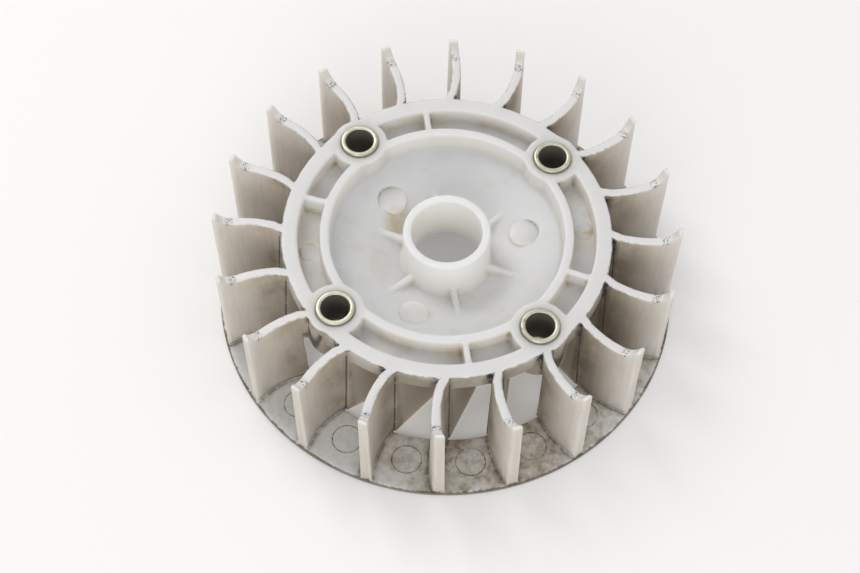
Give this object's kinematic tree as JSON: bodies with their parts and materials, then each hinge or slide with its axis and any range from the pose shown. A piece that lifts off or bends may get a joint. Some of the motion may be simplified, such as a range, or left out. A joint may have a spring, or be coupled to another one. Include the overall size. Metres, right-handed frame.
{
  "type": "flywheel cooling fan",
  "caption": "Radial cooling fan that bolts onto a small engine's flywheel: curved blades on a flat ring, dished hub with a centre tube and steel bolt bushes.",
  "frame": {"origin": "on the spin axis, in the plane of the shroud ring's underside, which the fan stands on", "axes": "+Z along the spin axis towards the flywheel side, where the bushes stand proud; +X and +Y lie in the ring's plane, with the bolt circle turned about 5 degrees clockwise from their diagonals as seen from above"},
  "size_m": [0.118, 0.118, 0.0317],
  "materials": {
    "natural_nylon": "natural off-white moulded nylon, satin, a little see-through where thin, stained by oil and dust",
    "yellow_zinc": "turned steel with pale yellow zinc plating"
  },
  "bodies": {
    "root": {"hub": "natural_nylon", "shroud_ring": "natural_nylon", "blade_01": "natural_nylon", "blade_02": "natural_nylon", "blade_03": "natural_nylon", "blade_04": "natural_nylon", "blade_05": "natural_nylon", "blade_06": "natural_nylon", "blade_07": "natural_nylon", "blade_08": "natural_nylon", "blade_09": "natural_nylon", "blade_10": "natural_nylon", "blade_11": "natural_nylon", "blade_12": "natural_nylon", "blade_13": "natural_nylon", "blade_14": "natural_nylon", "blade_15": "natural_nylon", "blade_16": "natural_nylon", "blade_17": "natural_nylon", "blade_18": "natural_nylon", "blade_19": "natural_nylon", "blade_20": "natural_nylon", "steel_bush_1": "yellow_zinc", "steel_bush_2": "yellow_zinc", "steel_bush_3": "yellow_zinc", "steel_bush_4": "yellow_zinc"}
  },
  "joints": []
}
